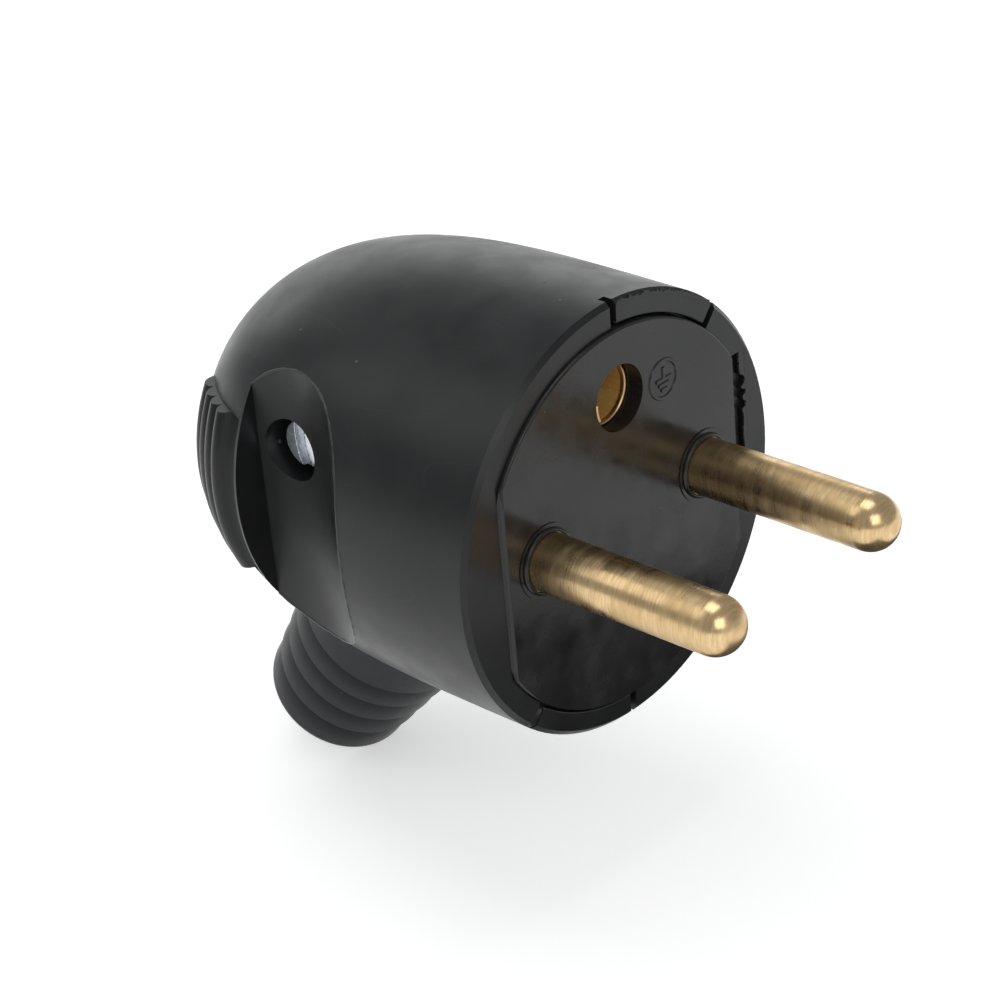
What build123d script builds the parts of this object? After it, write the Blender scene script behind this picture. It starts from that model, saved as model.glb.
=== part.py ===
from build123d import *
import os
from math import cos, pi, radians, sin, sqrt

# Side-entry mains plug with two round pins, an earth socket and a ribbed cable bush.
# The pins' collars end in the XZ plane and the pins point along -Y. The body runs back along +Y,
# and the cable leaves below, towards the rear. The origin is on the collars' plane, midway between
# the two pins. Distances back are from that plane. Lengths are in millimetres, angles in degrees.

# Fits
CLEARANCE = 0.25        # between a moulding and what drops into it
RUNNING_FIT = 0.05      # between a metal piece and its hole

# Pins, turned from brass, with a pillar terminal on the inner end
PIN_RADIUS = 2.4
PIN_LENGTH = 19.0       # from the carrier plate's face
PIN_SPACING = 19.0
PIN_COLLAR_RADIUS = 2.65  # of the thicker stretch that sits in the carrier plate
PIN_COLLAR_PROUD = 0.1    # of the collar in front of the ring round it
PIN_HEAD_RADIUS = 2.9
PIN_HEAD_LENGTH = 8.5
PIN_HEAD_FLAT = 2.3     # from the pin's axis to the flat that the terminal screw bears on
WIRE_HOLE_RADIUS = 1.1
WIRE_HOLE_DEPTH = 6.5
PIN_SCREW_SETBACK = 4.2  # from the carrier plate to the terminal screw

# Earth socket, rolled from brass sheet, with a tail under the earth terminal
EARTH_RISE = 10.0       # from the line of the pins
EARTH_MOUTH_RADIUS = 2.75
EARTH_MOUTH_DEPTH = 2.3
EARTH_BORE_RADIUS = 2.45
SHEET = 0.4
SLEEVE_LENGTH = 11.0
SLEEVE_SLIT = 0.8
TAIL_WIDTH = 6.6
TAIL_NECK = 1.3         # bare stretch between the sleeve and the earth terminal

# Housing, one moulding
BODY_RADIUS = 18.35
BODY_DEPTH = 41.1       # from the rim
BODY_DROP = 0.4         # of the body's axis below the line of the pins
FLANK_POWER = 4.04      # a higher power keeps the flank straight for longer
CROWN_POWER = 2.0       # a higher power makes the rear fuller
DOME_STATIONS = 9       # points that the dome's outline is drawn through
EDGE_BREAK = 0.4
WALL = 2.8

# Mouth of the housing, a round opening with two upright flats
MOUTH_RADIUS = 16.2
MOUTH_FLAT = 13.9       # from the middle plane
PLATE = 6.0             # to the rear of the carrier plate that fills the mouth
PLATE_PROUD = 0.4       # of the plate's face in front of the rim
TONGUE_START = 48.0     # angle of the first slot that bounds a tongue of the rim
TONGUE_SPAN = 41.0
TONGUE_RELIEF = 0.35
RIM_SLOT_WIDTH = 0.7
RIM_SLOT_DEPTH = 1.2
RIM_CHANNEL_WIDTH = 1.75
RIM_CHANNEL_TOP = 8.2   # above the body's axis
RIM_CHANNEL_HEIGHT = 10.8
RIM_GAP_WIDTH = 0.4     # of the deep part of the channel, next to the plate
RIM_GAP_DEPTH = 3.0

# Finger scoop in each flank, an upright cylinder cut off by a rear wall
SCOOP_RADIUS = 11.5
SCOOP_FLOOR = 12.85     # from the middle plane to the deepest line
SCOOP_BACK = 23.9       # to the deepest line
SCOOP_END = 27.6        # to the rear wall

# Ribbed grip behind each scoop
RIB_COUNT = 4
RIB_PITCH = 1.53
RIB_HEIGHT = 0.85
RIB_LEAD = 2.8          # from the scoop's rear wall to the first crest
RIB_ROOT = 0.15         # height of the valleys above the dome
RIB_SUNK = 1.2          # depth of the ribs' footing in the wall
GRIP_EDGE = 0.35        # width of the land between the scoop and the grip's hollow
GRIP_STEP = 0.15        # from the land down to the hollow's front edge
GRIP_HOLLOW = 0.55      # depth of the hollow in front of the first rib
GRIP_TOP = 6.6
GRIP_BOTTOM = -8.0

# Slotted screws and square nuts: (head radius, head height, shank radius)
SMALL_SCREW = (2.05, 1.5, 1.25)
LARGE_SCREW = (2.75, 1.7, 1.5)
HEAD_BEVEL = 0.2
SLOT_SHARE = 0.45       # depth of a driver slot, of the head's height
SLOT_WIDTH = 1.15
NUT_WIDTH = 5.5
NUT_HEIGHT = 1.8

# Fixing screws, one through the floor of each scoop into a post of the carrier
FIXING_BACK = 24.3
FIXING_RISE = 4.0
FIXING_TURN = 7.0       # of the driver slot from the vertical
FIXING_SUNK = 0.95      # from the scoop's floor down to the top of the head
FIXING_WEB = 1.6        # of the housing under the head
FIXING_BOSS_RADIUS = 4.4
FIXING_LENGTH = 5.4
HEAD_WELL_RADIUS = 2.73

# Carrier posts, which stand on the plate beside the terminals
POST_THICKNESS = 3.6
POST_TOP = 8.2
POST_LOW = 0.2
POST_STEP = 3.4         # height at which the post passes over the pin head
POST_END = 28.2
POST_STEP_GAP = 0.6     # from the pin head to the lower part of the post

# Cross bar between the posts, which carries the earth terminal and the cord clamp
BAR_LOW = 0.9
BAR_HIGH = 3.4
CLAMP_BACK = 17.5       # to the clamp's middle
CLAMP_DEPTH = 4.8
CLAMP_THICKNESS = 2.8
CLAMP_LENGTH = 18.4
CLAMP_EDGE = 2.6        # from a clamp screw to the clamp's end
CLAMP_SCREW_LENGTH = 10.4
CORD_GAP = 5.6          # between the bar and the clamp
CORD_RADIUS = 4.6       # of the hollow in the clamp
PEDESTAL_WIDTH = 8.0
PEDESTAL_LENGTH = 6.8
EARTH_SCREW_LENGTH = 5.4
EARTH_NUT_DEPTH = 0.9   # from the pedestal's top to the nut's slot
WASHER_WIDTH = 6.0
WASHER_THICKNESS = 0.8

# Earth sleeve's tube on the plate, and the ring round each pin
TUBE_WALL = 1.3
PIN_RING_RADIUS = 3.1
PIN_RING_HEIGHT = 0.1

# Cable outlet, whose axis crosses the body's axis and leans to the rear
OUTLET_BACK = 14.55
OUTLET_TILT = 37.55     # from the vertical
OUTLET_SEAT = 12.2      # along the outlet's axis to the face that the bush's flange bears on
OUTLET_WALL = 2.2
BUSH_RADIUS = 8.0
BUSH_FLANGE_RADIUS = 8.9
BUSH_FLANGE = 1.3
BUSH_BORE = 4.3
RING_COUNT = 4
RING_PITCH = 3.05
RING_START = 23.55      # along the outlet's axis to the collar's lip
RING_STEP = 0.65        # overhang of each lip beyond the groove after it
RING_TAPER = 0.35       # loss of radius from one lip to the next
RING_BULGE = 0.12       # of a ring beyond the straight line from groove to lip
BUSH_END_ROUND = 1.25

SIDES = {"left": -1, "right": 1}
RING_FRONT = PIN_COLLAR_PROUD
PLATE_FRONT = RING_FRONT + PIN_RING_HEIGHT
RIM_FRONT = PLATE_FRONT + PLATE_PROUD
SLEEVE_RADIUS = EARTH_BORE_RADIUS + SHEET
SLEEVE_REAR = EARTH_MOUTH_DEPTH + SLEEVE_LENGTH
TUBE_END = SLEEVE_REAR - SHEET
TAIL_UNDERSIDE = EARTH_RISE - SLEEVE_RADIUS
TAIL_TOP = TAIL_UNDERSIDE + SHEET
PEDESTAL_FRONT = SLEEVE_REAR + TAIL_NECK
PEDESTAL_REAR = PEDESTAL_FRONT + PEDESTAL_LENGTH
EARTH_SCREW_BACK = PEDESTAL_FRONT + PEDESTAL_LENGTH / 2
EARTH_SCREW_SEAT = TAIL_TOP + WASHER_THICKNESS
EARTH_NUT_TOP = TAIL_UNDERSIDE - EARTH_NUT_DEPTH
CLAMP_SPACING = CLAMP_LENGTH - 2 * CLAMP_EDGE
FAR = 2 * BODY_DEPTH    # longer than any cut needs to be
OUTLET = Plane(
    origin=(0, OUTLET_BACK, -BODY_DROP),
    x_dir=(1, 0, 0),
    z_dir=(0, sin(radians(OUTLET_TILT)), -cos(radians(OUTLET_TILT))),
)


def block(x_span, y_span, z_span):
    """Box between (low, high) pairs along X, Y and Z."""
    spans = (x_span, y_span, z_span)
    size = [high - low for low, high in spans]
    middle = [(high + low) / 2 for low, high in spans]
    return Pos(*middle) * Box(*size)


def slab(sketch, front, rear):
    """Extrude a sketch, drawn as seen from the front, between two distances back."""
    return extrude(Plane.XZ.offset(-front) * sketch, amount=front - rear)


def outward(side, span):
    """Order a (near, far) pair of distances from the middle plane as an X span on one side."""
    return tuple(sorted((side * span[0], side * span[1])))


def cross_drill(side, radius, near, far):
    """Cylinder along X on the fixing screw's axis, between two distances from the middle plane."""
    low, high = outward(side, (near, far))
    seat = Plane(origin=(low, FIXING_BACK, FIXING_RISE), z_dir=(1, 0, 0))
    return extrude(seat * Circle(radius), amount=high - low)


def slotted_screw(size, length):
    """Cheese-head screw with its seat at the origin, its head along +Z and a slot along X."""
    head_radius, head_height, shank_radius = size
    head = extrude(Circle(head_radius), amount=head_height)
    screw = chamfer(head.edges().sort_by(Axis.Z)[-1], HEAD_BEVEL)
    screw += extrude(Circle(shank_radius), amount=-length)
    slot_depth = SLOT_SHARE * head_height
    slot = block((-FAR, FAR), (-SLOT_WIDTH / 2, SLOT_WIDTH / 2), (head_height - slot_depth, FAR))
    return screw - slot


def square_nut(shank_radius):
    """Square nut that stands on the XY plane."""
    outline = Rectangle(NUT_WIDTH, NUT_WIDTH) - Circle(shank_radius + RUNNING_FIT)
    return extrude(outline, amount=NUT_HEIGHT)


def dome_radius(back, radius, depth):
    """Radius of a dome at a distance back."""
    return radius * (1 - ((back - RIM_FRONT) / depth) ** FLANK_POWER) ** (1 / CROWN_POWER)


def about_body_axis(section):
    """Revolve a section, drawn as (radius, distance back), about the body's axis."""
    return Pos(0, 0, -BODY_DROP) * revolve(section, Axis.Y)


def dome(radius, depth):
    """Solid with a straight flank and a round rear, its front edge broken by a small bevel."""
    steps = [sin(pi / 2 * i / DOME_STATIONS) for i in range(1, DOME_STATIONS)]
    backs = [RIM_FRONT + depth * step for step in steps]
    points = [(radius, RIM_FRONT + EDGE_BREAK)]
    points += [(dome_radius(back, radius, depth), back) for back in backs]
    points += [(0, RIM_FRONT + depth)]
    flank = Spline(points, tangents=[(0, 1), (-1, 0)])
    front = Polyline([points[-1], (0, RIM_FRONT), (radius - EDGE_BREAK, RIM_FRONT), points[0]])
    return about_body_axis(make_face([flank, front]))


def scoop(side, growth):
    """Upright hollow in one flank, grown outward to leave a wall behind it."""
    cylinder = extrude(Circle(SCOOP_RADIUS + growth), amount=FAR, both=True)
    placed = Pos(side * (SCOOP_FLOOR + SCOOP_RADIUS), SCOOP_BACK, 0) * cylinder
    return placed & block((-FAR, FAR), (-FAR, SCOOP_END + growth), (-FAR, FAR))


def on_dome(back, height):
    """Point of a section at a height above the dome."""
    return (dome_radius(back, BODY_RADIUS, BODY_DEPTH) + height, back)


def grip_zone(side, section):
    """Part of a ring round the dome that a grip takes up."""
    ring = about_body_axis(section)
    return ring & block(outward(side, (0, FAR)), (0, FAR), (GRIP_BOTTOM, GRIP_TOP))


def grip(side):
    """Hollow in the dome behind one scoop, and the ribbed pad that fills it up to a row of crests."""
    first = SCOOP_END + RIB_LEAD
    front, rear = SCOOP_END + GRIP_EDGE, first + (RIB_COUNT - 1 / 2) * RIB_PITCH
    foot = [on_dome(rear, -RIB_SUNK), on_dome(front, -RIB_SUNK)]
    cut = Polyline([on_dome(front, RIB_HEIGHT), on_dome(rear, RIB_HEIGHT)] + foot, close=True)
    start = first - RIB_PITCH / 2
    edge, dip = on_dome(front, -GRIP_STEP), on_dome((front + start) / 2, -GRIP_HOLLOW)
    pad = [ThreePointArc(edge, dip, on_dome(start, RIB_ROOT))]
    for i in range(RIB_COUNT):
        crest = first + i * RIB_PITCH
        pad.append(ThreePointArc(
            on_dome(crest - RIB_PITCH / 2, RIB_ROOT),
            on_dome(crest, RIB_HEIGHT),
            on_dome(crest + RIB_PITCH / 2, RIB_ROOT),
        ))
    pad.append(Polyline([on_dome(rear, RIB_ROOT)] + foot + [edge]))
    return grip_zone(side, make_face(cut)), grip_zone(side, make_face(pad))


def mouth_outline(shrink):
    """Round opening with two flats, on the body's axis."""
    flats = Rectangle(2 * (MOUTH_FLAT - shrink), FAR)
    return Pos(0, -BODY_DROP) * (Circle(MOUTH_RADIUS - shrink) & flats)


def along_outlet(radius, start, end):
    """Cylinder on the outlet's axis between two distances from the body's axis."""
    return extrude(OUTLET.offset(start) * Circle(radius), amount=end - start)


def scoop_floor_at(back):
    """Distance of the scoop's surface from the middle plane."""
    return SCOOP_FLOOR + SCOOP_RADIUS - sqrt(SCOOP_RADIUS ** 2 - (back - SCOOP_BACK) ** 2)


HEAD_SEAT = scoop_floor_at(FIXING_BACK) - FIXING_SUNK - SMALL_SCREW[1]
BOSS_FACE = HEAD_SEAT - FIXING_WEB
POST_OUTER = BOSS_FACE - CLEARANCE
POST_INNER = POST_OUTER - POST_THICKNESS
CLAMP_TOP = BAR_LOW - CORD_GAP
CLAMP_UNDERSIDE = CLAMP_TOP - CLAMP_THICKNESS


def rim_cuts():
    """Slots that part two tongues from the rim, their relief, and a channel beside the right flat."""
    cuts = []
    slot = Pos(FAR / 2, 0) * Rectangle(FAR, RIM_SLOT_WIDTH)
    for turn in (TONGUE_START, TONGUE_START + 180):
        for angle in (turn, turn + TONGUE_SPAN):
            cuts.append(Rot(0, 0, angle) * slot)
        corners = [(FAR * cos(radians(a)), FAR * sin(radians(a))) for a in (turn, turn + TONGUE_SPAN)]
        wedge = make_face(Polyline([(0, 0)] + corners, close=True))
        cuts.append(wedge & Circle(MOUTH_RADIUS + TONGUE_RELIEF))
    channel = Rectangle(RIM_CHANNEL_WIDTH, RIM_CHANNEL_HEIGHT, align=(Align.MIN, Align.MAX))
    cuts.append(Pos(MOUTH_FLAT, RIM_CHANNEL_TOP) * channel)
    gap = Rectangle(RIM_GAP_WIDTH, RIM_CHANNEL_HEIGHT, align=(Align.MIN, Align.MAX))
    deep = slab(Pos(MOUTH_FLAT, RIM_CHANNEL_TOP - BODY_DROP) * gap, 0, RIM_FRONT + RIM_GAP_DEPTH)
    return [slab(Pos(0, -BODY_DROP) * cut, 0, RIM_FRONT + RIM_SLOT_DEPTH) for cut in cuts] + [deep]


def housing():
    """Domed shell with a scoop and a ribbed grip on each flank and a bored boss for the bush."""
    shell = dome(BODY_RADIUS, BODY_DEPTH)
    cavity = dome(BODY_RADIUS - WALL, BODY_DEPTH - WALL)
    cavity &= block((-MOUTH_FLAT, MOUTH_FLAT), (PLATE, FAR), (-FAR, FAR))
    cavity -= along_outlet(BUSH_RADIUS + CLEARANCE + OUTLET_WALL, OUTLET_SEAT, FAR)
    for side in SIDES.values():
        shell -= scoop(side, 0)
        hollow, ribs = grip(side)
        shell = shell - hollow + ribs
        cavity -= scoop(side, WALL)
        cavity -= cross_drill(side, FIXING_BOSS_RADIUS, BOSS_FACE, FAR)
    shell -= cavity
    shell -= slab(mouth_outline(0), 0, PLATE)
    shell -= along_outlet(BUSH_RADIUS + CLEARANCE, OUTLET_SEAT, FAR)
    for side in SIDES.values():
        shell -= cross_drill(side, HEAD_WELL_RADIUS, HEAD_SEAT, FAR)
        shell -= cross_drill(side, SMALL_SCREW[2] + CLEARANCE, BOSS_FACE - CLEARANCE, FAR)
    for cut in rim_cuts():
        shell -= cut
    return shell


def post(side):
    """Upright wall of the carrier that takes one fixing screw and its nut."""
    rear_start = PLATE + PIN_HEAD_LENGTH + POST_STEP_GAP
    x_span = outward(side, (POST_INNER, POST_OUTER))
    wall = block(x_span, (PLATE, POST_END), (POST_STEP, POST_TOP))
    wall += block(x_span, (rear_start, POST_END), (POST_LOW, POST_TOP))
    wall -= cross_drill(side, SMALL_SCREW[2] + CLEARANCE, POST_INNER - CLEARANCE, POST_OUTER + CLEARANCE)
    reach = NUT_WIDTH / 2 + RUNNING_FIT
    nut_pocket = block(
        outward(side, (POST_INNER - CLEARANCE, POST_INNER + NUT_HEIGHT)),
        (FIXING_BACK - reach, FIXING_BACK + reach),
        (FIXING_RISE - reach, FIXING_RISE + reach),
    )
    return wall - nut_pocket


def pin_carrier():
    """Plate that fills the mouth, with posts, a cross bar, an earth pedestal and the sleeve's tube."""
    plate = slab(mouth_outline(CLEARANCE), PLATE_FRONT, PLATE)
    tube = Pos(0, EARTH_RISE) * Circle(SLEEVE_RADIUS + RUNNING_FIT + TUBE_WALL)
    plate += slab(tube, PLATE_FRONT, TUBE_END)
    for side in SIDES.values():
        plate += slab(Pos(side * PIN_SPACING / 2, 0) * Circle(PIN_RING_RADIUS), RING_FRONT, PLATE)
        plate += post(side)
    bar_span = (CLAMP_BACK - CLAMP_DEPTH / 2, CLAMP_BACK + CLAMP_DEPTH / 2)
    plate += block((-POST_INNER, POST_INNER), bar_span, (BAR_LOW, BAR_HIGH))
    half = PEDESTAL_WIDTH / 2
    plate += block((-half, half), (PEDESTAL_FRONT, PEDESTAL_REAR), (BAR_LOW, TAIL_UNDERSIDE))

    plate -= slab(Pos(0, EARTH_RISE) * Circle(EARTH_MOUTH_RADIUS), 0, TUBE_END)
    plate -= slab(Pos(0, EARTH_RISE) * Circle(SLEEVE_RADIUS + RUNNING_FIT), EARTH_MOUTH_DEPTH, TUBE_END)
    nut_half = NUT_WIDTH / 2 + RUNNING_FIT
    nut_span = (EARTH_NUT_TOP - NUT_HEIGHT - RUNNING_FIT, EARTH_NUT_TOP)
    plate -= block((-nut_half, nut_half), (EARTH_SCREW_BACK - nut_half, FAR), nut_span)
    hole_end = EARTH_SCREW_SEAT - EARTH_SCREW_LENGTH - CLEARANCE
    earth_hole = extrude(Circle(LARGE_SCREW[2] + RUNNING_FIT), amount=FAR)
    plate -= Pos(0, EARTH_SCREW_BACK, hole_end) * earth_hole
    pin_hole = slab(Circle(PIN_COLLAR_RADIUS + RUNNING_FIT), 0, PLATE)
    clamp_hole = extrude(Circle(SMALL_SCREW[2] + RUNNING_FIT), amount=-FAR)
    for side in SIDES.values():
        plate -= Pos(side * PIN_SPACING / 2, 0, 0) * pin_hole
        plate -= Pos(side * CLAMP_SPACING / 2, CLAMP_BACK, BAR_HIGH) * clamp_hole
    return plate


def pin(side):
    """Round pin with a domed tip, a collar in the plate and a drilled terminal head behind it."""
    tip = PLATE_FRONT - PIN_LENGTH
    nose = ThreePointArc(
        (0, tip),
        (PIN_RADIUS * sin(pi / 4), tip + PIN_RADIUS * (1 - cos(pi / 4))),
        (PIN_RADIUS, tip + PIN_RADIUS),
    )
    rear = PLATE + PIN_HEAD_LENGTH
    shank = Polyline([
        (PIN_RADIUS, tip + PIN_RADIUS),
        (PIN_RADIUS, 0),
        (PIN_COLLAR_RADIUS, 0),
        (PIN_COLLAR_RADIUS, PLATE),
        (PIN_HEAD_RADIUS, PLATE),
        (PIN_HEAD_RADIUS, rear),
        (0, rear),
        (0, tip),
    ])
    body = revolve(make_face([nose, shank]), Axis.Y)
    body -= slab(Circle(WIRE_HOLE_RADIUS), rear - WIRE_HOLE_DEPTH, rear)
    body -= block((-FAR, FAR), (PLATE, rear), (-FAR, -PIN_HEAD_FLAT))
    thread = extrude(Circle(SMALL_SCREW[2] + RUNNING_FIT), amount=-FAR)
    body -= Pos(0, PLATE + PIN_SCREW_SETBACK, 0) * thread
    return Pos(side * PIN_SPACING / 2, 0, 0) * body


def pin_screw(side):
    """Terminal screw, driven from below into the pin's head."""
    seat = Plane(
        origin=(side * PIN_SPACING / 2, PLATE + PIN_SCREW_SETBACK, -PIN_HEAD_FLAT),
        x_dir=(1, 0, 0),
        z_dir=(0, 0, -1),
    )
    return seat * slotted_screw(SMALL_SCREW, PIN_HEAD_FLAT - WIRE_HOLE_RADIUS)


def earth_contact():
    """Slit sleeve rolled from sheet, with a flat tail that leads to the earth terminal."""
    ring = Circle(SLEEVE_RADIUS) - Circle(EARTH_BORE_RADIUS)
    ring -= Pos(0, SLEEVE_RADIUS) * Rectangle(SLEEVE_SLIT, 2 * SLEEVE_RADIUS)
    contact = slab(Pos(0, EARTH_RISE) * ring, EARTH_MOUTH_DEPTH, SLEEVE_REAR)
    sheet = (TAIL_UNDERSIDE, TAIL_TOP)
    neck_half = sqrt(SLEEVE_RADIUS ** 2 - EARTH_BORE_RADIUS ** 2) / 2
    contact += block((-neck_half, neck_half), (TUBE_END, PEDESTAL_REAR), sheet)
    tail_half = TAIL_WIDTH / 2
    contact += block((-tail_half, tail_half), (PEDESTAL_FRONT, PEDESTAL_REAR), sheet)
    hole = extrude(Circle(LARGE_SCREW[2] + RUNNING_FIT), amount=FAR, both=True)
    return contact - Pos(0, EARTH_SCREW_BACK, 0) * hole


def earth_washer():
    """Square clamping washer on the tail of the earth contact."""
    outline = Rectangle(WASHER_WIDTH, WASHER_WIDTH) - Circle(LARGE_SCREW[2] + RUNNING_FIT)
    return Pos(0, EARTH_SCREW_BACK, TAIL_TOP) * extrude(outline, amount=WASHER_THICKNESS)


def earth_screw():
    """Screw that clamps the earth wire under the washer."""
    return Pos(0, EARTH_SCREW_BACK, EARTH_SCREW_SEAT) * slotted_screw(LARGE_SCREW, EARTH_SCREW_LENGTH)


def earth_nut():
    """Nut in the pedestal's slot, pulled up by the earth screw."""
    return Pos(0, EARTH_SCREW_BACK, EARTH_NUT_TOP - NUT_HEIGHT) * square_nut(LARGE_SCREW[2])


def cord_clamp():
    """Bar with a hollow for the cord, drawn up to the cross bar by two screws."""
    bar = Pos(0, CLAMP_TOP - CLAMP_THICKNESS / 2) * Rectangle(CLAMP_LENGTH, CLAMP_THICKNESS)
    hollow = Pos(0, CLAMP_TOP + CORD_RADIUS - CLAMP_THICKNESS / 2) * Circle(CORD_RADIUS)
    clamp = slab(bar - hollow, CLAMP_BACK - CLAMP_DEPTH / 2, CLAMP_BACK + CLAMP_DEPTH / 2)
    hole = extrude(Circle(SMALL_SCREW[2] + CLEARANCE), amount=FAR, both=True)
    for side in SIDES.values():
        clamp -= Pos(side * CLAMP_SPACING / 2, CLAMP_BACK, 0) * hole
    return clamp


def clamp_screw(side):
    """Screw driven up through the cord clamp into the cross bar."""
    seat = Plane(
        origin=(side * CLAMP_SPACING / 2, CLAMP_BACK, CLAMP_UNDERSIDE),
        x_dir=(1, 0, 0),
        z_dir=(0, 0, -1),
    )
    return seat * slotted_screw(SMALL_SCREW, CLAMP_SCREW_LENGTH)


def fixing_screw(side):
    """Screw sunk in the floor of one scoop, which holds the housing to the carrier."""
    slot_way = (0, sin(radians(FIXING_TURN)), cos(radians(FIXING_TURN)))
    seat = Plane(origin=(side * HEAD_SEAT, FIXING_BACK, FIXING_RISE), x_dir=slot_way, z_dir=(side, 0, 0))
    return seat * slotted_screw(SMALL_SCREW, FIXING_LENGTH)


def fixing_nut(side):
    """Nut in the inner face of one post."""
    seat = Plane(origin=(side * POST_INNER, FIXING_BACK, FIXING_RISE), x_dir=(0, 0, 1), z_dir=(side, 0, 0))
    return seat * square_nut(SMALL_SCREW[2])


def cable_bush():
    """Flanged sleeve with a smooth collar and a tapering row of lipped rings round the cable's bore."""
    flange_top = OUTLET_SEAT - BUSH_FLANGE
    lips = [(BUSH_RADIUS - i * RING_TAPER, RING_START + i * RING_PITCH) for i in range(RING_COUNT + 1)]
    end = lips[-1][1] + BUSH_END_ROUND
    edges = [Polyline([
        (BUSH_BORE, end),
        (BUSH_BORE, flange_top),
        (BUSH_FLANGE_RADIUS, flange_top),
        (BUSH_FLANGE_RADIUS, OUTLET_SEAT),
        (BUSH_RADIUS, OUTLET_SEAT),
        lips[0],
    ])]
    for upper, lower in zip(lips, lips[1:]):
        groove = (upper[0] - RING_STEP, upper[1])
        bulge = ((groove[0] + lower[0]) / 2 + RING_BULGE, (groove[1] + lower[1]) / 2)
        edges += [Line(upper, groove), ThreePointArc(groove, bulge, lower)]
    last = lips[-1]
    edges.append(ThreePointArc(
        last,
        (last[0] - BUSH_END_ROUND * (1 - cos(pi / 4)), last[1] + BUSH_END_ROUND * sin(pi / 4)),
        (last[0] - BUSH_END_ROUND, end),
    ))
    edges.append(Line((last[0] - BUSH_END_ROUND, end), (BUSH_BORE, end)))
    section = Plane.XZ * make_face(edges)
    return OUTLET * revolve(section, Axis.Z)


NODES = {
    "housing": housing(),
    "pin_carrier": pin_carrier(),
    "earth_contact": earth_contact(),
    "earth_washer": earth_washer(),
    "earth_screw": earth_screw(),
    "earth_nut": earth_nut(),
    "cord_clamp": cord_clamp(),
    "cable_bush": cable_bush(),
}
PAIRED = {
    "pin": pin,
    "pin_screw": pin_screw,
    "clamp_screw": clamp_screw,
    "fixing_screw": fixing_screw,
    "fixing_nut": fixing_nut,
}
for name, make in PAIRED.items():
    for side_name, side in SIDES.items():
        NODES[f"{name}_{side_name}"] = make(side)

os.makedirs("parts", exist_ok=True)
for name, solid in NODES.items():
    export_step(solid, f"parts/{name}.step")
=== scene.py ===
from math import acos, asin, cos, pi, radians, sin, sqrt
from random import Random

import bpy
from mathutils import Matrix, Vector


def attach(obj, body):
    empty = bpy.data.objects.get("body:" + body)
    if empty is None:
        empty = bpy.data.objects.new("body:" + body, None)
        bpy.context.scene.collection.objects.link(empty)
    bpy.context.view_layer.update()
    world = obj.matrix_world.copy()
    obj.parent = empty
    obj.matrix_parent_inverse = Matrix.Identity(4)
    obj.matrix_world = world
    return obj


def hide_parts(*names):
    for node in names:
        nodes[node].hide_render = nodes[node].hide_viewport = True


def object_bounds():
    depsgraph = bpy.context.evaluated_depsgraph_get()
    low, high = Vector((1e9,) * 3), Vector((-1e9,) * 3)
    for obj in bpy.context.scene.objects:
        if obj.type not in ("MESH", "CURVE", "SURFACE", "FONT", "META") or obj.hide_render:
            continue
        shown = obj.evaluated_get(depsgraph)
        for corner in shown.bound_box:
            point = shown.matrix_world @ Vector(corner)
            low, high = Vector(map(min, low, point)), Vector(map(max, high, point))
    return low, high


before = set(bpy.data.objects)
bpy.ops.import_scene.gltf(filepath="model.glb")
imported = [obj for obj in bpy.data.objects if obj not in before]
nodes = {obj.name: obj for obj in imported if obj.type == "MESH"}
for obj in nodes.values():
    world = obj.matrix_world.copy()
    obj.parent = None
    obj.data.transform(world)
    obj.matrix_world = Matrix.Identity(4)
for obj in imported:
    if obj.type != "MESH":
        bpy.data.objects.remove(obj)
cad_low, cad_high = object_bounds()
scene = bpy.context.scene
scene.view_settings.view_transform = "Standard"


# View
# A long lens looks at the plug from its front left and a little above. It is held slightly off
# level, as a camera in the hand is.
camera_place = (-0.15349, -0.1394, 0.11293)
camera_heading, camera_dip, camera_roll = -44.98, 28.15, -5.08
camera = bpy.data.objects.new("camera", bpy.data.cameras.new("camera"))
camera.data.lens = 108
camera.data.sensor_width = 36
camera.data.clip_start = 0.01
camera.matrix_world = (
    Matrix.Translation(camera_place)
    @ Matrix.Rotation(radians(camera_heading), 4, "Z")
    @ Matrix.Rotation(radians(90 - camera_dip), 4, "X")
    @ Matrix.Rotation(radians(camera_roll), 4, "Z")
)
scene.collection.objects.link(camera)
scene.camera = camera


# Studio
# A wide white table that the plug's bush just touches, a dim room around it, and four soft lamps.
# A grey sheet, which only reflections show, lies on the table in front of the plug. It is a painted
# shadow: it stands in for the plug's shadow on the table and darkens the lower half of the face.
table_gap, table_half, table_glow = 0.00005, 4.0, 0.5
table_drop = table_gap - cad_low[2]
table_mesh = bpy.data.meshes.new("table")
table_mesh.from_pydata(
    [(x * table_half, y * table_half, -table_drop) for x, y in ((-1, -1), (1, -1), (1, 1), (-1, 1))],
    [],
    [(0, 1, 2, 3)],
)
table = bpy.data.objects.new("table", table_mesh)
scene.collection.objects.link(table)

table_paint = bpy.data.materials.new("table_paint")
table_paint.use_nodes = True
tree = table_paint.node_tree
paint = tree.nodes["Principled BSDF"]
paint.inputs["Base Color"].default_value = (0.85, 0.85, 0.85, 1)
paint.inputs["Roughness"].default_value = 0.9
paint.inputs["Emission Color"].default_value = (1, 1, 1, 1)
rays = tree.nodes.new("ShaderNodeLightPath")
seen = tree.nodes.new("ShaderNodeMath")
seen.operation = "MAXIMUM"
tree.links.new(rays.outputs["Is Camera Ray"], seen.inputs[0])
tree.links.new(rays.outputs["Is Glossy Ray"], seen.inputs[1])
seen_through = tree.nodes.new("ShaderNodeMath")
seen_through.operation = "MAXIMUM"
tree.links.new(seen.outputs[0], seen_through.inputs[0])
tree.links.new(rays.outputs["Is Transmission Ray"], seen_through.inputs[1])
glow = tree.nodes.new("ShaderNodeMath")
glow.operation = "MULTIPLY"
glow.inputs[1].default_value = table_glow
tree.links.new(seen_through.outputs[0], glow.inputs[0])
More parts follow.
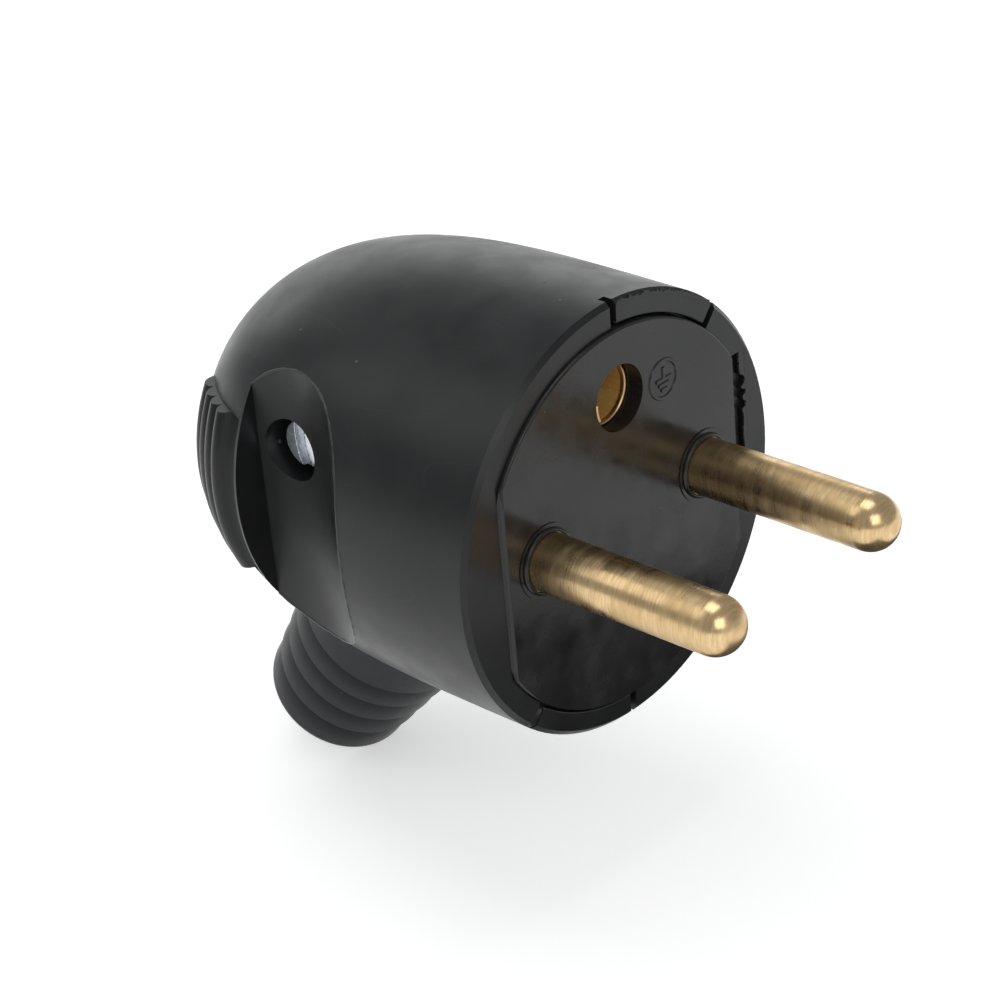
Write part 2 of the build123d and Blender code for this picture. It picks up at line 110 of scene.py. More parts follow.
tree.links.new(glow.outputs[0], paint.inputs["Emission Strength"])
table_mesh.materials.append(table_paint)

# Painted shadow: a hidden grey sheet that only reflections see, in place of the plug's shadow on the table.
shadow_card_corners = [(-0.010, -0.056), (0.080, -0.004), (0.080, 0.004), (-0.010, 0.004)]
shadow_card_lift = 0.0002
shadow_card_mesh = bpy.data.meshes.new("painted_shadow_card")
shadow_card_mesh.from_pydata([(x, y, shadow_card_lift - table_drop) for x, y in shadow_card_corners], [], [(0, 1, 2, 3)])
shadow_card = bpy.data.objects.new("painted_shadow_card", shadow_card_mesh)
shadow_card.visible_camera = False
shadow_card.visible_diffuse = False
shadow_card.visible_shadow = False
scene.collection.objects.link(shadow_card)
shadow_card_paint = bpy.data.materials.new("shadow_card_paint")
shadow_card_paint.use_nodes = True
shadow_card_surface = shadow_card_paint.node_tree.nodes["Principled BSDF"]
shadow_card_surface.inputs["Base Color"].default_value = (0.15, 0.15, 0.15, 1)
shadow_card_surface.inputs["Roughness"].default_value = 1.0
shadow_card_surface.inputs["Specular IOR Level"].default_value = 0.0
shadow_card_mesh.materials.append(shadow_card_paint)

room = bpy.data.worlds.new("room")
scene.world = room
room.use_nodes = True
room.node_tree.nodes["Background"].inputs["Color"].default_value = (0.96, 0.98, 1.0, 1)
room.node_tree.nodes["Background"].inputs["Strength"].default_value = 0.4


def soft_lamp(name, place, width, height, watts):
    """Soft lamp that faces the plug and isn't seen itself."""
    lamp = bpy.data.objects.new(name, bpy.data.lights.new(name, "AREA"))
    lamp.data.shape = "RECTANGLE"
    lamp.data.size = width
    lamp.data.size_y = height
    lamp.data.energy = watts
    lamp.location = place
    lamp.rotation_euler = (-Vector(place)).to_track_quat("-Z", "Y").to_euler()
    lamp.visible_camera = False
    scene.collection.objects.link(lamp)


soft_lamp("lamp_overhead", (0.0, 0.10, 0.65), 0.40, 0.40, 1.0)
soft_lamp("lamp_rear_left", (-0.30, 0.39, 0.43), 0.35, 0.35, 0.35)
soft_lamp("lamp_rear_right", (0.34, 0.58, 0.20), 0.75, 0.32, 0.9)
soft_lamp("lamp_front", (-0.28, -0.50, 0.36), 0.40, 0.40, 0.9)


# Pin carrier
# The black thermoset plate that closes the housing's mouth, compression moulded with its posts and
# cross bar. Its face is polished by the tool and worn dull in patches, its left edge is paler, a
# painted highlight for the light on its side wall, and it carries only the raised earth sign.
def finish(name):
    """New material, its node tree and its surface shader."""
    material = bpy.data.materials.new(name)
    material.use_nodes = True
    return material, material.node_tree, material.node_tree.nodes["Principled BSDF"]


def add(tree, kind, sockets, **options):
    """Shader node with its options, and with sockets that take a value or another node's output."""
    node = tree.nodes.new("ShaderNode" + kind)
    for option, value in options.items():
        setattr(node, option, value)
    for socket, value in sockets.items():
        if isinstance(value, bpy.types.NodeSocket):
            tree.links.new(value, node.inputs[socket])
        else:
            node.inputs[socket].default_value = value
    return node


def place_in_mm(tree):
    """Place on the piece, in millimetres."""
    place = add(tree, "TexCoord", {})
    return add(tree, "VectorMath", {0: place.outputs["Object"], 3: 1000}, operation="SCALE").outputs[0]


def cloud(tree, place, size, stretch=(1, 1, 1), detail=2):
    """Soft noise whose patches are about this many millimetres across."""
    scale = [way / size for way in stretch]
    spot = add(tree, "VectorMath", {0: place, 1: scale}, operation="MULTIPLY").outputs[0]
    return add(tree, "TexNoise", {"Vector": spot, "Scale": 1, "Detail": detail}).outputs[0]


def between(tree, value, start, end, low=0.0, high=1.0):
    """Value taken from the span start to end onto the span low to high, and held at its ends."""
    sockets = {0: value, 1: start, 2: end, 3: low, 4: high}
    return add(tree, "MapRange", sockets).outputs[0]


def tint(tree, share, colour, other):
    """Mix of two colours, each given as red, green and blue or as another node's output."""
    ends = [value if isinstance(value, bpy.types.NodeSocket) else (*value, 1) for value in (colour, other)]
    return add(tree, "Mix", {0: share, 6: ends[0], 7: ends[1]}, data_type="RGBA").outputs[2]


def times(tree, value, other):
    """Product of two values."""
    return add(tree, "Math", {0: value, 1: other}, operation="MULTIPLY").outputs[0]


def dust(tree, place, size, share):
    """Round specks, at most one in a cell of this size, in this share of the cells."""
    spot = add(tree, "VectorMath", {0: place, 3: 1 / size}, operation="SCALE").outputs[0]
    cells = add(tree, "TexVoronoi", {"Vector": spot, "Scale": 1})
    chance = add(tree, "SeparateColor", {0: cells.outputs["Color"]})
    chosen = between(tree, chance.outputs[0], share, share - 0.01)
    reach = between(tree, chance.outputs[1], 0, 1, 0.04, 0.13)
    near = add(tree, "Math", {0: reach, 1: cells.outputs["Distance"]}, operation="SUBTRACT").outputs[0]
    return times(tree, chosen, between(tree, near, 0, 0.03))


def roughen(tree, surface, *layers):
    """Bump the surface with layers of (height, depth in metres)."""
    normal = None
    for height, depth in layers:
        sockets = {"Height": height, "Distance": depth, "Strength": 1.0}
        if normal is not None:
            sockets["Normal"] = normal
        normal = add(tree, "Bump", sockets).outputs[0]
    tree.links.new(normal, surface.inputs["Normal"])


def moulded(name, dark, pale, matt, level, specks):
    """Black moulding: cloudy colour, patches of duller skin, hair scratches, dust and a faint grain."""
    material, tree, surface = finish(name)
    place = place_in_mm(tree)
    body = tint(tree, between(tree, cloud(tree, place, 7, detail=4), 0.3, 0.7), dark, pale)
    dusty = dust(tree, place, 1.7, specks)
    hair = cloud(tree, place, 5, (1.0, 0.15, 0.6), 1)
    off_line = add(tree, "Math", {0: hair, 1: 0.5}, operation="SUBTRACT").outputs[0]
    scratch = between(tree, add(tree, "Math", {0: off_line}, operation="ABSOLUTE").outputs[0], 0.003, 0.0)
    scratch = times(tree, scratch, between(tree, cloud(tree, place, 4), 0.5, 0.62))
    body = tint(tree, times(tree, scratch, 0.12), body, (0.09, 0.09, 0.09))
    body = tint(tree, dusty, body, (0.10, 0.098, 0.093))
    tree.links.new(body, surface.inputs["Base Color"])
    skin = between(tree, cloud(tree, place, 3.5, detail=5), 0.3, 0.7, *matt)
    skin = add(tree, "Math", {0: skin, 1: times(tree, dusty, 0.3)}, operation="ADD").outputs[0]
    tree.links.new(skin, surface.inputs["Roughness"])
    surface.inputs["Specular IOR Level"].default_value = level
    roughen(
        tree,
        surface,
        (cloud(tree, place, 5), 0.000015),
        (cloud(tree, place, 0.3, detail=3), 0.000004),
        (dusty, 0.00003),
    )
    return material


def dress(material, *names):
    """Give CAD nodes a finish."""
    for name in names:
        nodes[name].data.materials.clear()
        nodes[name].data.materials.append(material)


plate_plastic = moulded(
    "plate_plastic", (0.008, 0.008, 0.008), (0.023, 0.0224, 0.0218), matt=(0.10, 0.34), level=0.36, specks=0.1
)
dress(plate_plastic, "pin_carrier")


def piece(name, points, faces, material, smooth=False):
    """Mesh piece, from points in millimetres, that belongs to the plug."""
    mesh = bpy.data.meshes.new(name)
    mesh.from_pydata([[coordinate / 1000 for coordinate in point] for point in points], [], faces)
    mesh.polygons.foreach_set("use_smooth", [smooth] * len(faces))
    mesh.materials.append(material)
    shape = bpy.data.objects.new(name, mesh)
    scene.collection.objects.link(shape)
    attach(shape, "root")
    return shape


plate_face, plate_radius, plate_flat, axis_drop = 0.2, 15.95, 13.65, 0.4
arc_steps, right_flat_reach = 60, 0.04
corner_turn = acos(plate_flat / plate_radius)
outline_turns = []
for start, end in ((corner_turn, pi - corner_turn), (pi + corner_turn, 2 * pi - corner_turn)):
    outline_turns += [start + (end - start) * i / arc_steps for i in range(arc_steps + 1)]
edge_section = [
    (-0.05, 0.0), (0.03, 0.015), (0.10, 0.07), (0.155, 0.16), (0.19, 0.32), (0.21, 0.6), (0.21, 1.6),
]
edge_points, edge_faces = [], []
for turn in outline_turns:
    for out, back in edge_section:
        reach = plate_radius + out
        x = max(-plate_flat - out, min(plate_flat + min(out, right_flat_reach), reach * cos(turn)))
        edge_points.append((x, plate_face + back, reach * sin(turn) - axis_drop))
wide = len(edge_section)
for i in range(len(outline_turns)):
    j = (i + 1) % len(outline_turns)
    for k in range(wide - 1):
        edge_faces.append((i * wide + k, j * wide + k, j * wide + k + 1, i * wide + k + 1))
piece("plate_edge", edge_points, edge_faces, plate_plastic, smooth=True)

# Painted highlight: a paler plastic on the ramp at the plate's left edge, standing in for light on its side
# wall.
edge_highlight_plastic = moulded(
    "edge_highlight_plastic", (0.019, 0.019, 0.0188), (0.032, 0.032, 0.0315), matt=(0.25, 0.4), level=0.4, specks=0.1
)
flat_strips = [
    ("plate_flat_foot", plate_plastic, [(-14.04, 0.598), (-13.96, 0.58), (-13.9, 0.52), (-13.855, 0.45)]),
    ("plate_flat_edge", edge_highlight_plastic, [(-13.855, 0.45), (-13.82, 0.385), (-13.78, 0.31), (-13.72, 0.25)]),
]
flat_low, flat_high, flat_steps, flat_taper, least_fill = -8.6, 7.8, 60, 0.06, 0.1
root_x, root_y = -13.8, 0.46
for strip_name, material, section in flat_strips:
    wide = len(section)
    strip_points, strip_faces = [], []
    for i in range(flat_steps + 1):
        share = i / flat_steps
        fill = max(least_fill, min(1.0, share / flat_taper, (1 - share) / flat_taper))
        z = flat_low + (flat_high - flat_low) * share
        strip_points += [(root_x + (x - root_x) * fill, root_y + (y - root_y) * fill, z) for x, y in section]
    for i in range(flat_steps):
        for k in range(wide - 1):
            strip_faces.append((i * wide + k, i * wide + k + 1, (i + 1) * wide + k + 1, (i + 1) * wide + k))
    piece(strip_name, strip_points, strip_faces, material, smooth=True)


def raised_line(path, closed):
    """Points and faces of a rounded ridge that follows (x, z) places on the plate's face."""
    half, crest_share, proud, sunk = 0.18, 0.6, 0.1, 0.03
    crest = half * crest_share
    profile = [(-half, sunk), (-half, 0), (-crest, -proud), (crest, -proud), (half, 0), (half, sunk)]
    points, faces, count, wide = [], [], len(path), len(profile)
    for i, (x, z) in enumerate(path):
        before = path[i - 1] if closed or i else path[i]
        after = path[(i + 1) % count] if closed or i < count - 1 else path[i]
        along = Vector((after[0] - before[0], after[1] - before[1])).normalized()
        for across, height in profile:
            points.append((x - along.y * across, plate_face + height, z + along.x * across))
    for i in range(count if closed else count - 1):
        j = (i + 1) % count
        for k in range(wide - 1):
            faces.append((i * wide + k, i * wide + k + 1, j * wide + k + 1, j * wide + k))
    if not closed:
        faces += [tuple(range(wide)), tuple(range((count - 1) * wide, count * wide))[::-1]]
    return points, faces


sign_x, sign_z, sign_radius, stem_top, stem_foot = 5.2, 9.5, 1.6, 1.0, 0.1
ring_steps = 48
ring_turns = [2 * pi * i / ring_steps for i in range(ring_steps)]
sign_ring = [(sign_x + sign_radius * cos(turn), sign_z + sign_radius * sin(turn)) for turn in ring_turns]
sign_lines = [(sign_ring, True), ([(sign_x, sign_z + stem_top), (sign_x, sign_z + stem_foot)], False)]
for drop, half_bar in ((0.0, 0.9), (0.45, 0.62), (0.9, 0.34)):
    sign_lines.append(([(sign_x - half_bar, sign_z - drop), (sign_x + half_bar, sign_z - drop)], False))
sign_points, sign_faces = [], []
for path, closed in sign_lines:
    points, faces = raised_line(path, closed)
    sign_faces += [tuple(corner + len(sign_points) for corner in face) for face in faces]
    sign_points += points
piece("earth_sign", sign_points, sign_faces, plate_plastic)


def ring_round(name, centre, section, material, start=0, end=360):
    """Ring or part of one about an axis along Y, from a closed section of (radius, distance back)."""
    whole_steps, least_steps, step_turn = 64, 8, 1.5
    whole, wide = end - start == 360, len(section)
    steps = whole_steps if whole else max(least_steps, int((end - start) / step_turn))
    points, faces = [], []
    for i in range(steps if whole else steps + 1):
        turn = radians(start + (end - start) * i / steps)
        points += [(centre[0] + r * cos(turn), back, centre[1] + r * sin(turn)) for r, back in section]
    for i in range(steps):
        j = (i + 1) % steps if whole else i + 1
        for k in range(wide):
            n = (k + 1) % wide
            faces.append((i * wide + k, j * wide + k, j * wide + n, i * wide + n))
    if not whole:
        faces += [tuple(range(wide)), tuple(range(steps * wide, (steps + 1) * wide))[::-1]]
    return piece(name, points, faces, material, smooth=True)


pin_reach = 9.5
seat_section = [
    (2.43, 0.0), (2.43, -0.09), (2.5, -0.16), (2.6, -0.17), (2.7, -0.12),
    (2.76, 0.0), (2.78, 0.12), (2.7, 0.12), (2.66, -0.02),
]
for side, side_name in ((-1, "left"), (1, "right")):
    ring_round(
        f"pin_seat_{side_name}",
        (side * pin_reach, 0),
        seat_section,
        plate_plastic,
    )


# Pins
# Two solid brass pins, turned on a lathe and left bare. The tool's fine rings show all along them,
# and handling has browned them in patches.
pin_brass, tree, surface = finish("pin_brass")
place = place_in_mm(tree)
tool_rings = cloud(tree, place, 0.16, (0.12, 1, 0.12), 3)
wide_rings = cloud(tree, place, 0.9, (0.2, 1, 0.2), 2)
tarnish = between(tree, cloud(tree, place, 4, detail=5), 0.42, 0.68)
brass = tint(tree, between(tree, tool_rings, 0.35, 0.65), (0.66, 0.465, 0.235), (0.80, 0.595, 0.335))
brass = tint(tree, times(tree, tarnish, 0.55), brass, (0.50, 0.33, 0.14))
tree.links.new(brass, surface.inputs["Base Color"])
surface.inputs["Metallic"].default_value = 1.0
shine = between(tree, wide_rings, 0.3, 0.7, 0.2, 0.34)
shine = add(tree, "Math", {0: shine, 1: times(tree, tarnish, 0.08)}, operation="ADD").outputs[0]
tree.links.new(shine, surface.inputs["Roughness"])
roughen(tree, surface, (wide_rings, 0.000012), (tool_rings, 0.000006))
dress(pin_brass, "pin_left", "pin_right")


# Screws, washer and nuts
# Small steel hardware, cold headed or stamped and zinc plated. The plating is bluish and mottled,
# with grey stains. The two fixing screws hold the housing to the carrier's posts.
zinc_plate, tree, surface = finish("zinc_plate")
place = place_in_mm(tree)
mottle = cloud(tree, place, 0.5, detail=4)
grey = tint(tree, between(tree, mottle, 0.35, 0.65), (0.68, 0.73, 0.79), (0.86, 0.89, 0.93))
stain = between(tree, cloud(tree, place, 1.3, detail=3), 0.58, 0.72)
grey = tint(tree, times(tree, stain, 0.3), grey, (0.36, 0.36, 0.35))
tree.links.new(grey, surface.inputs["Base Color"])
surface.inputs["Metallic"].default_value = 0.7
tree.links.new(between(tree, mottle, 0.3, 0.7, 0.16, 0.3), surface.inputs["Roughness"])
roughen(tree, surface, (mottle, 0.000004), (cloud(tree, place, 0.12), 0.000002))
dress(zinc_plate, "pin_screw_left", "pin_screw_right", "earth_screw", "earth_washer", "earth_nut")
dress(zinc_plate, "fixing_nut_left", "fixing_nut_right", "clamp_screw_left", "clamp_screw_right")


def revolved(section, turns):
    """Points and faces of a solid turned about X, from (distance along X, radius) pairs."""
    points, faces, wide = [], [], len(section)
    for i in range(turns):
        turn = 2 * pi * i / turns
        points += [(x, r * cos(turn), r * sin(turn)) for x, r in section]
    for i in range(turns):
        j = (i + 1) % turns
        for k in range(wide - 1):
            faces.append((i * wide + k, i * wide + k + 1, j * wide + k + 1, j * wide + k))
    faces.append(tuple(i * wide for i in range(turns)))
    faces.append(tuple(i * wide + wide - 1 for i in reversed(range(turns))))
    return points, faces


head_radius, head_height, head_crown, head_round = 2.05, 1.5, 0.2, 0.22
shank_radius, shank_length, shank_tip, tip_length, neck_length = 1.22, 5.4, 0.3, 0.5, 0.3
thread_count, thread_pitch, thread_depth, thread_lead = 8, 0.5, 0.14, 0.6
thread_flank, thread_crest = 0.2, 0.3
round_steps, crown_steps, crown_middle, turning_steps = 8, 12, 0.02, 72
slot_width, slot_depth, slot_turn, cutter_reach, cutter_over = 1.05, 0.68, radians(7), 4.0, 1
screw_seat, screw_back, screw_rise = 10.407, 24.3, 4.0

root_radius, flat_radius = shank_radius - thread_depth, head_radius - head_round
screw_section = [(-shank_length, shank_tip), (-shank_length + tip_length, root_radius)]
thread_start = -shank_length + thread_lead
for i in range(thread_count):
    foot = thread_start + i * thread_pitch
    screw_section += [
        (foot, root_radius),
        (foot + thread_flank, shank_radius),
        (foot + thread_crest, shank_radius),
    ]
screw_section += [(-neck_length, root_radius), (0.0, shank_radius), (0.0, head_radius)]
for i in range(round_steps + 1):
    bend = pi / 2 * i / round_steps
    edge_height = head_height - head_crown - head_round + head_round * sin(bend)
    screw_section.append((edge_height, flat_radius + head_round * cos(bend)))
for i in range(1, crown_steps):
    share = 1 - i / crown_steps
    screw_section.append((head_height - head_crown * share * share, flat_radius * share))
screw_section[-1] = (head_height, crown_middle)

half_slot, slot_floor = slot_width / 2, head_height - slot_depth
cutter_points = [
    (x, y * half_slot, z * cutter_reach)
    for x in (slot_floor, head_height + cutter_over)
    for y, z in ((-1, -1), (1, -1), (1, 1), (-1, 1))
]
for side, side_name in ((-1, "left"), (1, "right")):
    points, faces = revolved(screw_section, turning_steps)
    screw = piece(f"screw_{side_name}", points, faces, zinc_plate, smooth=True)
    cutter_mesh = bpy.data.meshes.new("slot_cutter")
    cutter_mesh.from_pydata(
        [[coordinate / 1000 for coordinate in point] for point in cutter_points],
        [],
        [(3, 2, 1, 0), (4, 5, 6, 7), (0, 1, 5, 4), (1, 2, 6, 5), (2, 3, 7, 6), (3, 0, 4, 7)],
    )
    cutter = bpy.data.objects.new("slot_cutter", cutter_mesh)
    scene.collection.objects.link(cutter)
    cut = screw.modifiers.new("slot", "BOOLEAN")
    cut.operation = "DIFFERENCE"
    cut.object = cutter
    bpy.context.view_layer.update()
    slotted = bpy.data.meshes.new_from_object(screw.evaluated_get(bpy.context.evaluated_depsgraph_get()))
    screw.modifiers.clear()
    bpy.data.objects.remove(cutter)
    turn_slot = Matrix.Rotation(-slot_turn, 4, "X")
    face_out = Matrix.Diagonal((side, 1, 1, 1))
    seat = Matrix.Translation((side * screw_seat / 1000, screw_back / 1000, screw_rise / 1000))
    slotted.transform(seat @ face_out @ turn_slot)
    if side < 0:
        slotted.flip_normals()
    screw.data = slotted
    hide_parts(f"fixing_screw_{side_name}")


# Earth contact
# A sleeve rolled from thin brass sheet, with a tail that the earth screw clamps and a tab that stands
# forward to the plate's face. The sheet is bright at its cut edges and brown gold inside.
contact_brass, tree, surface = finish("contact_brass")
place = place_in_mm(tree)
rolled = cloud(tree, place, 0.3, (1, 0.1, 1), 3)
film = between(tree, cloud(tree, place, 1.6, detail=4), 0.35, 0.7)
gold = tint(tree, between(tree, rolled, 0.3, 0.7), (0.88, 0.58, 0.18), (0.95, 0.70, 0.28))
gold = tint(tree, times(tree, film, 0.4), gold, (0.80, 0.42, 0.09))
tree.links.new(gold, surface.inputs["Base Color"])
surface.inputs["Metallic"].default_value = 0.5
tree.links.new(between(tree, film, 0, 1, 0.25, 0.4), surface.inputs["Roughness"])
roughen(tree, surface, (rolled, 0.000008))
dress(contact_brass, "earth_contact")

sleeve_axis, slit_half_turn, tab_start, tab_end = (0, 10.0), 9, 172, 205
mouth_section = [
    (2.45, 2.32), (2.452, 1.96), (2.49, 1.88), (2.55, 1.83), (2.6, 1.82),
    (2.65, 1.83), (2.71, 1.88), (2.735, 1.96), (2.74, 2.32),
]
mouth_start, mouth_end = 90 + slit_half_turn, 450 - slit_half_turn
ring_round("sleeve_mouth", sleeve_axis, mouth_section, pin_brass, mouth_start, mouth_end)
tab_section = [(2.46, 2.3), (2.46, 0.3), (2.5, 0.22), (2.6, 0.19), (2.7, 0.22), (2.74, 0.3), (2.74, 2.3)]
ring_round("sleeve_tab", sleeve_axis, tab_section, pin_brass, tab_start, tab_end)


# Cord clamp
# A short bar moulded in the same black plastic as the carrier, with a hollow for the cord. Its two
# screws draw it up against the carrier's cross bar.
clamp_plastic = moulded(
    "clamp_plastic", (0.011, 0.011, 0.011), (0.018, 0.018, 0.018), matt=(0.35, 0.5), level=0.4, specks=0.1
)
dress(clamp_plastic, "cord_clamp")


# Cable bush
# A soft black rubber sleeve, moulded with a flange inside the housing, a smooth collar and four
# lipped rings. Rubbing and a dull bloom grey the rubber in patches, and painted shade makes each groove black
# below its lip.
bush_rubber, tree, surface = finish("bush_rubber")
place = place_in_mm(tree)
bloom = between(tree, cloud(tree, place, 3, detail=4), 0.35, 0.7)
# Painted shade: past each lip the rubber is painted near black, fading out along the ring, as the lip's shade
# falls in the groove.
outlet_axis, first_lip, ring_pitch = (0, 0.609454, -0.792822), 32.735, 3.05
along = add(tree, "VectorMath", {0: place, 1: outlet_axis}, operation="DOT_PRODUCT").outputs["Value"]
past_lip = add(tree, "Math", {0: along, 1: first_lip}, operation="SUBTRACT").outputs[0]
in_ring = add(tree, "Math", {0: times(tree, past_lip, 1 / ring_pitch)}, operation="FRACT").outputs[0]
on_collar = between(tree, past_lip, 0.0, -0.05)
clear_of_groove_shade = add(tree, "Math", {0: in_ring, 1: on_collar}, operation="MAXIMUM").outputs[0]
rubber = tint(tree, bloom, (0.022, 0.0235, 0.0255), (0.031, 0.0328, 0.0355))
# Painted shade in the grooves, near black.
rubber = tint(tree, between(tree, clear_of_groove_shade, 0.1, 0.75), (0.0015, 0.0016, 0.0018), rubber)
rubber_dust = dust(tree, place, 1.1, 0.16)
rubber = tint(tree, rubber_dust, rubber, (0.11, 0.108, 0.10))
tree.links.new(rubber, surface.inputs["Base Color"])
tree.links.new(between(tree, bloom, 0, 1, 0.3, 0.44), surface.inputs["Roughness"])
surface.inputs["Specular IOR Level"].default_value = 0.2
roughen(tree, surface, (cloud(tree, place, 2.2), 0.00004), (cloud(tree, place, 0.18, detail=3), 0.000008))
dress(bush_rubber, "cable_bush")


# Housing
# One black moulding, domed, with scoops and ribbed grips in its flanks. It was moulded in one shot.
# Its rim is torn along the upper tongue and at the channel. The edges of its scoops are rubbed pale,
# and this paler colour is partly a painted highlight of the light line along their rounded edges.
shell_plastic = moulded(
    "shell_plastic", (0.009, 0.0093, 0.010), (0.015, 0.0153, 0.016), matt=(0.28, 0.4), level=0.34, specks=0.1
)
dress(shell_plastic, "housing")

torn_plastic = moulded(
    "torn_plastic", (0.008, 0.008, 0.008), (0.024, 0.024, 0.024), matt=(0.55, 0.8), level=0.3, specks=0.5
)
rim_front, rim_radius = 0.6, 18.35
tongue_span, tear_start, tear_steps = 38.4, 49.4, 150
longest_bite, first_reach, reach_growth, tear_inset, most_jag = 4, 0.12, 0.3, 0.04, 0.04
chance = Random(7)
skin_points, skin_faces, torn_points, torn_faces = [], [], [], []
held, bite = 0, 0.1
for i in range(tear_steps + 1):
    share = i / tear_steps
    if held == 0:
        held = chance.randint(1, longest_bite)
        bite = chance.uniform(0.0, first_reach + reach_growth * share)
    held -= 1
    angle = radians(tear_start + tongue_span * share)
    jag = chance.uniform(-most_jag, most_jag)
    edge = rim_radius - tear_inset - bite + min(0.0, jag)
    skin = [
        (rim_radius - 0.6, rim_front + 0.03),
        (rim_radius - 0.55, rim_front - 0.012),
        (edge, rim_front - 0.01),
    ]
    torn = [
        (edge, rim_front - 0.01),
        (edge + 0.03, rim_front + 0.09 + jag),
        (edge - 0.03, rim_front + 0.16 + 0.4 * bite),
        (rim_radius - 0.06 - 0.3 * bite, rim_front + 0.24 + 0.5 * bite + jag),
        (rim_radius - 0.01, rim_front + 0.4 + jag),
        (rim_radius - 0.03, rim_front + 0.5 + 1.2 * share * chance.uniform(0.0, 0.4)),
    ]
    for points, section in ((skin_points, skin), (torn_points, torn)):
        points += [(r * cos(angle), back, r * sin(angle) - axis_drop) for r, back in section]
for points, faces, wide in ((skin_points, skin_faces, len(skin)), (torn_points, torn_faces, len(torn))):
    for i in range(tear_steps):
        for k in range(wide - 1):
            faces.append((wide * i + k, wide * i + k + 1, wide * (i + 1) + k + 1, wide * (i + 1) + k))
piece("torn_tongue_skin", skin_points, skin_faces, shell_plastic)
piece("torn_tongue_edge", torn_points, torn_faces, torn_plastic)

body_axis = (0, -axis_drop)
lip_section = [
    (16.75, 0.61), (16.45, 0.61), (16.38, 0.63), (16.34, 0.7), (16.33, 0.8), (16.33, 1.78), (16.75, 1.78),
]
for first_turn, tongue_name in ((49.3, "upper"), (229.3, "lower")):
    ring_round(
        f"tongue_lip_{tongue_name}",
        body_axis,
        lip_section,
        shell_plastic,
        first_turn,
        first_turn + tongue_span,
    )

web_section = [(16.25, 1.78), (16.25, 0.63), (17.9, 0.63), (18.28, 1.02), (18.28, 1.78)]
web_middle, web_half_turn = 228, 1.02
web_start, web_end = web_middle - web_half_turn, web_middle + web_half_turn
ring_round("tongue_web", body_axis, web_section, shell_plastic, web_start, web_end)

channel_wall, channel_floor, shelf_top, shelf_reach, foot_reach = 15.65, 1.8, 1.15, 0.85, 0.88
least_cuts, cut_length, most_fray = 2, 0.12, 0.05
teeth = [
    (7.78, 0.73), (6.8, 0.76), (5.75, 0.68), (5.45, 0.2), (5.1, 0.1), (4.8, 0.12), (4.62, 0.55),
    (4.4, 0.5), (4.22, 0.06), (3.85, 0.05), (3.7, 0.48), (3.35, 0.4), (3.12, 0.06), (2.75, 0.1),
    (2.55, 0.5), (1.5, 0.38), (0.6, 0.5), (-0.6, 0.42), (-1.7, 0.5), (-2.98, 0.45),
]
saw_points, saw_faces = [], []
for (height, reach), (next_height, next_reach) in zip(teeth, teeth[1:]):
    cuts = max(least_cuts, int((height - next_height) / cut_length))
    for i in range(cuts):
        share = i / cuts
        edge = channel_wall - reach - (next_reach - reach) * share + chance.uniform(-most_fray, most_fray)
        level = height + (next_height - height) * share
        tooth = [
            (channel_wall + 0.05, rim_front + 0.01, level),
            (edge + 0.06, rim_front - 0.005, level),
            (edge, rim_front + 0.07 + chance.uniform(0, 0.05), level),
            (edge - chance.uniform(-0.02, 0.05), shelf_top, level),
            (channel_wall - shelf_reach + chance.uniform(-0.04, 0.04), shelf_top + 0.05, level),
            (channel_wall - foot_reach, channel_floor + 0.02, level),
        ]
        saw_points += tooth
wide = len(tooth)
for i in range(len(saw_points) // wide - 1):
    for k in range(wide - 1):
        saw_faces.append((wide * i + k, wide * i + k + 1, wide * (i + 1) + k + 1, wide * (i + 1) + k))
piece("torn_channel_edge", saw_points, saw_faces, shell_plastic)

# Partly wear, partly painted highlight: the scoop lips are paler where rubbed, and the paler colour also
# stands in for the light line their rounded edges catch.
rubbed_highlit_plastic = moulded(
    "rubbed_highlit_plastic", (0.028, 0.0285, 0.029), (0.05, 0.0505, 0.051), matt=(0.25, 0.4), level=0.45, specks=0.1
)
body_depth, flank_power = 41.1, 4.04
scoop_radius, scoop_floor, scoop_back, scoop_end = 11.5, 12.85, 23.9, 27.6
scoop_axis = scoop_floor + scoop_radius
lip_steps, lip_sides, lip_inset, lip_thick, lip_wave, lip_jitter = 160, 8, 0.07, 0.12, 0.03, 0.015
slow_wave, quick_wave = 0.37, 0.9


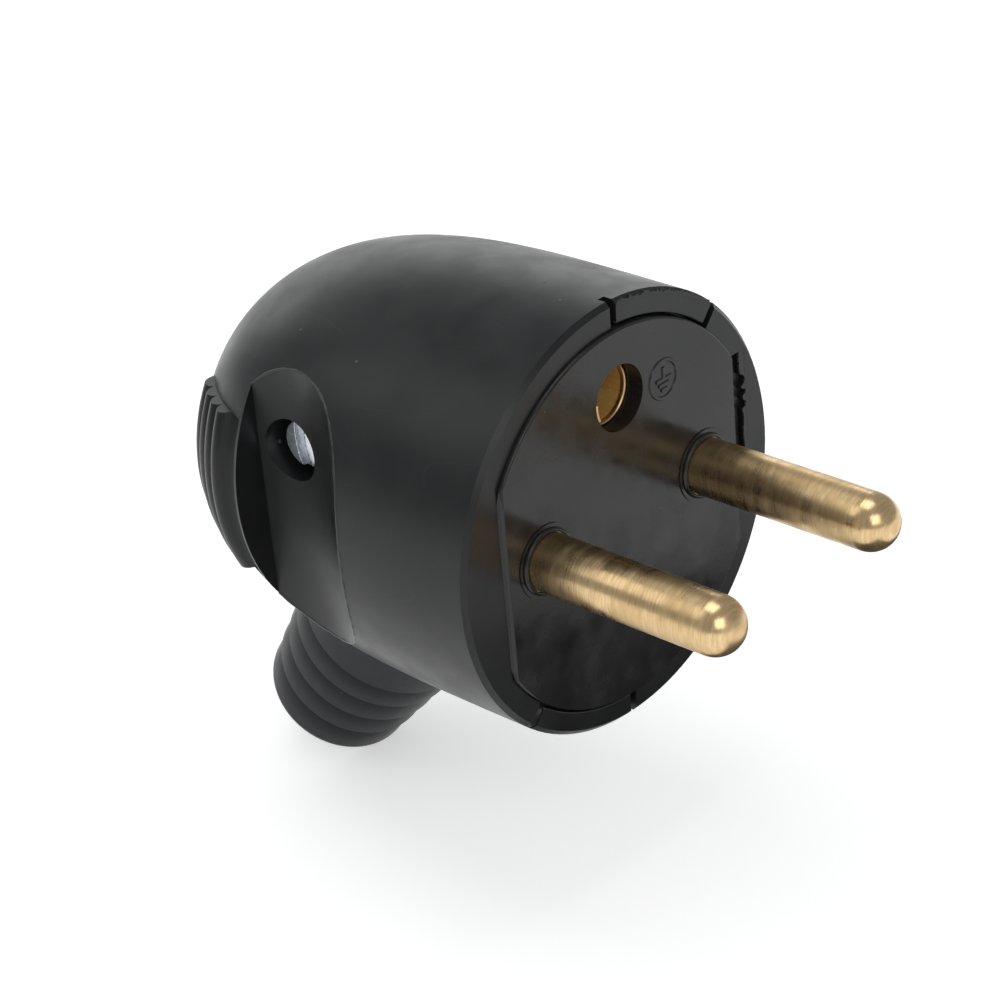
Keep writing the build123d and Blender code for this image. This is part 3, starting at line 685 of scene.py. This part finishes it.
def edge_gap(turn):
    """Square of the height above or below the body's axis at which scoop and dome meet."""
    back = scoop_back + scoop_radius * sin(turn)
    dome = rim_radius ** 2 * (1 - ((back - rim_front) / body_depth) ** flank_power)
    return dome - (scoop_axis - scoop_radius * cos(turn)) ** 2


rear_turn = asin((scoop_end - scoop_back) / scoop_radius)
front_turn, open_turn, halvings = -1.3, 0.0, 50
for _ in range(halvings):
    middle = (front_turn + open_turn) / 2
    front_turn, open_turn = (front_turn, middle) if edge_gap(middle) > 0 else (middle, open_turn)
for side, side_name in ((-1, "left"), (1, "right")):
    lip_path = []
    for i in range(lip_steps + 1):
        share = 2 * i / lip_steps - 1
        turn = rear_turn + (open_turn - rear_turn) * (1 - share * share)
        rise = sqrt(max(0.0, edge_gap(turn))) * (1 if share > 0 else -1)
        x, back = scoop_axis - scoop_radius * cos(turn), scoop_back + scoop_radius * sin(turn)
        outward = Vector((x, 0, rise)).normalized() + Vector((cos(turn), -sin(turn), 0))
        spot = Vector((x, back, rise - axis_drop)) - lip_inset * outward.normalized()
        lip_path.append(Vector((side * spot.x, spot.y, spot.z)))
    lip_points, lip_faces = [], []
    for i, spot in enumerate(lip_path):
        along = (lip_path[min(i + 1, lip_steps)] - lip_path[max(i - 1, 0)]).normalized()
        across = along.cross(Vector((side, 0, 0))).normalized()
        upward = along.cross(across)
        thick = lip_thick + lip_wave * sin(quick_wave * i) * sin(slow_wave * i)
        thick += chance.uniform(-lip_jitter, lip_jitter)
        for k in range(lip_sides):
            turn = 2 * pi * k / lip_sides
            lip_points.append(spot + thick * (cos(turn) * across + sin(turn) * upward))
    for i in range(lip_steps):
        here, there = lip_sides * i, lip_sides * (i + 1)
        for k in range(lip_sides):
            n = (k + 1) % lip_sides
            lip_faces.append((here + k, here + n, there + n, there + k))
    last = lip_sides * lip_steps
    lip_faces += [tuple(range(lip_sides))[::-1], tuple(range(last, last + lip_sides))]
    piece(f"scoop_lip_{side_name}", lip_points, lip_faces, rubbed_highlit_plastic, smooth=True)
